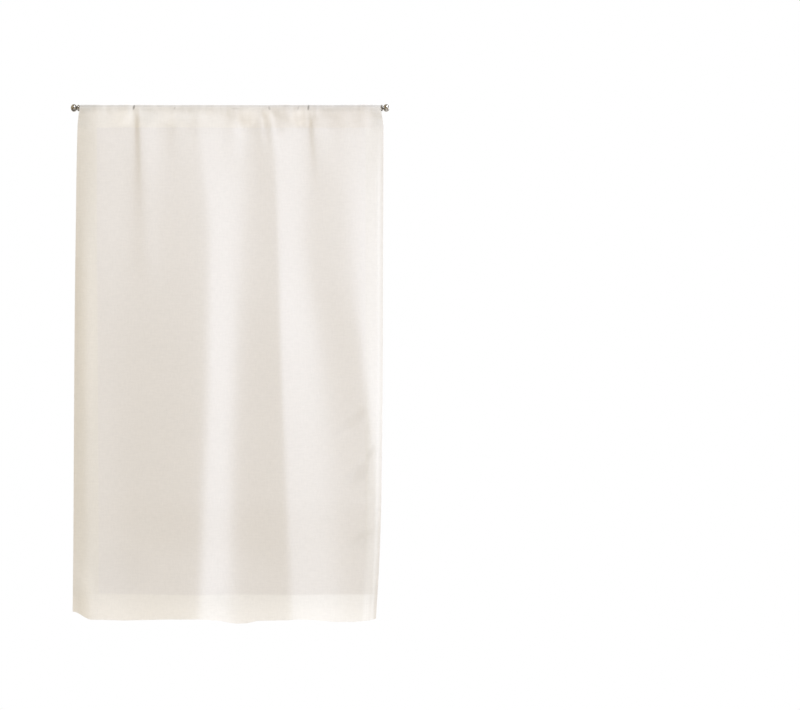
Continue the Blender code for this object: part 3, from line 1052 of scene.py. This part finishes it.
def nickel_material():
    """Nickel plate with dark and bright cloudy patches painted in as reflections."""
    material, tree, shader = new_material("aged nickel")
    place = tree.nodes.new("ShaderNodeTexCoord")
    cloud = noise(tree, place.outputs["Object"], NICKEL_PATCHES, detail=3.0)
    scratch = noise(tree, place.outputs["Object"], NICKEL_SCRATCHES, NICKEL_SCRATCH_SIZES)
    patches = step_between(tree, cloud, *NICKEL_PATCH_EDGE)
    colour = blend_colours(tree, patches, *NICKEL_COLOURS)
    tree.links.new(colour, shader.inputs["Base Color"])
    shader.inputs["Metallic"].default_value = 1.0
    rough = calculate(tree, "MULTIPLY_ADD", cloud, NICKEL_PATCH_ROUGHNESS, NICKEL_ROUGHNESS)
    tree.links.new(rough, shader.inputs["Roughness"])
    bump = tree.nodes.new("ShaderNodeBump")
    bump.inputs["Strength"].default_value = 0.1
    bump.inputs["Distance"].default_value = 0.05 * MM
    tree.links.new(scratch, bump.inputs["Height"])
    tree.links.new(bump.outputs["Normal"], shader.inputs["Normal"])
    return material


def floor_material():
    """Pale matt floor with a faint grain."""
    material, tree, shader = new_material("pale floor")
    place = tree.nodes.new("ShaderNodeTexCoord")
    grain = noise(tree, place.outputs["Object"], FLOOR_GRAIN, detail=4.0)
    colour = blend_colours(tree, grain, *FLOOR_COLOURS)
    tree.links.new(colour, shader.inputs["Base Color"])
    shader.inputs["Roughness"].default_value = 0.8
    return material


# Camera, light and floor

def add_camera():
    """Looks straight at the curtain's plane, with the rod's middle at its place in the picture."""
    data = bpy.data.cameras.new("camera")
    data.sensor_width = SENSOR_WIDTH
    data.lens = SENSOR_WIDTH * CAMERA_DISTANCE / (PICTURE_SIZE[0] * PICTURE_ELEMENT)
    camera = bpy.data.objects.new("camera", data)
    right = (PICTURE_SIZE[0] / 2 - ROD_MIDDLE_IN_PICTURE[0]) * PICTURE_ELEMENT
    down = (PICTURE_SIZE[1] / 2 - ROD_MIDDLE_IN_PICTURE[1]) * PICTURE_ELEMENT
    camera.location = (right, -CAMERA_DISTANCE, -down)
    camera.rotation_euler = (math.pi / 2, 0.0, 0.0)
    bpy.context.scene.collection.objects.link(camera)
    bpy.context.scene.camera = camera


def add_area_light(name, place, size, power, colour):
    """A soft light that looks at the curtain's middle."""
    data = bpy.data.lights.new(name, "AREA")
    data.size = size
    data.energy = power
    data.color = colour
    light = bpy.data.objects.new(name, data)
    light.location = place
    aim = mathutils.Vector((0.0, 0.0, -DROP / 2)) - mathutils.Vector(place)
    light.rotation_euler = aim.to_track_quat("-Z", "Y").to_euler()
    bpy.context.scene.collection.objects.link(light)


def add_world():
    """A white surround behind the curtain, and a softer even light on it."""
    world = bpy.data.worlds.new("white studio")
    bpy.context.scene.world = world
    world.use_nodes = True
    tree = world.node_tree
    background = tree.nodes["Background"]
    background.inputs["Color"].default_value = SURROUND_LIGHT
    seen = tree.nodes.new("ShaderNodeBackground")
    seen.inputs["Color"].default_value = WHITE
    path = tree.nodes.new("ShaderNodeLightPath")
    both = tree.nodes.new("ShaderNodeMixShader")
    tree.links.new(path.outputs["Is Camera Ray"], both.inputs["Fac"])
    tree.links.new(background.outputs["Background"], both.inputs[1])
    tree.links.new(seen.outputs["Background"], both.inputs[2])
    tree.links.new(both.outputs["Shader"], tree.nodes["World Output"].inputs["Surface"])


def add_floor():
    """A round floor below the curtain."""
    bm = bmesh.new()
    below = mathutils.Matrix.Translation((0.0, 0.0, -DROP - FLOOR_BELOW_HEM))
    bmesh.ops.create_circle(
        bm, cap_ends=True, segments=FLOOR_SIDES, radius=FLOOR_RADIUS, matrix=below
    )
    mesh = bpy.data.meshes.new("floor")
    bm.to_mesh(mesh)
    bm.free()
    mesh.materials.append(floor_material())
    floor = bpy.data.objects.new("floor", mesh)
    bpy.context.scene.collection.objects.link(floor)


def main():
    bpy.context.scene.view_settings.view_transform = "Standard"
    add_camera()
    add_world()
    add_area_light("key light", KEY_PLACE, KEY_SIZE, KEY_POWER, KEY_COLOUR)
    add_area_light("back light", BACK_PLACE, BACK_SIZE, BACK_POWER, KEY_COLOUR)
    add_floor()

    thread = thread_material()
    rows = grid_rows()
    points = [row_points(*row) for row in rows]
    seams = {
        "pocket_stitches": lambda behind: level_seam(POCKET_SEAM - STITCH_INSET, behind),
        "bottom_hem_stitches": lambda behind: level_seam(HEM_STITCH + STITCH_INSET, behind),
        "left_hem_stitches": lambda behind: upright_seam(
            rows, points, LEFT_HEM_EDGE - STITCH_INSET, behind
        ),
        "right_hem_stitches": lambda behind: upright_seam(
            rows, points, RIGHT_HEM_EDGE + STITCH_INSET, behind
        ),
    }
    stitches = [make_stitches(name, thread, seam) for name, seam in seams.items()]
    cloth = make_cloth(cloth_material(), rows, points)
    nickel = nickel_material()
    make_finial("turned_finial_left", "finial_left", -1, nickel)
    make_finial("turned_finial_right", "finial_right", 1, nickel)
    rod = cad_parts["rod"]
    rod.data.materials.clear()
    rod.data.materials.append(nickel)


main()
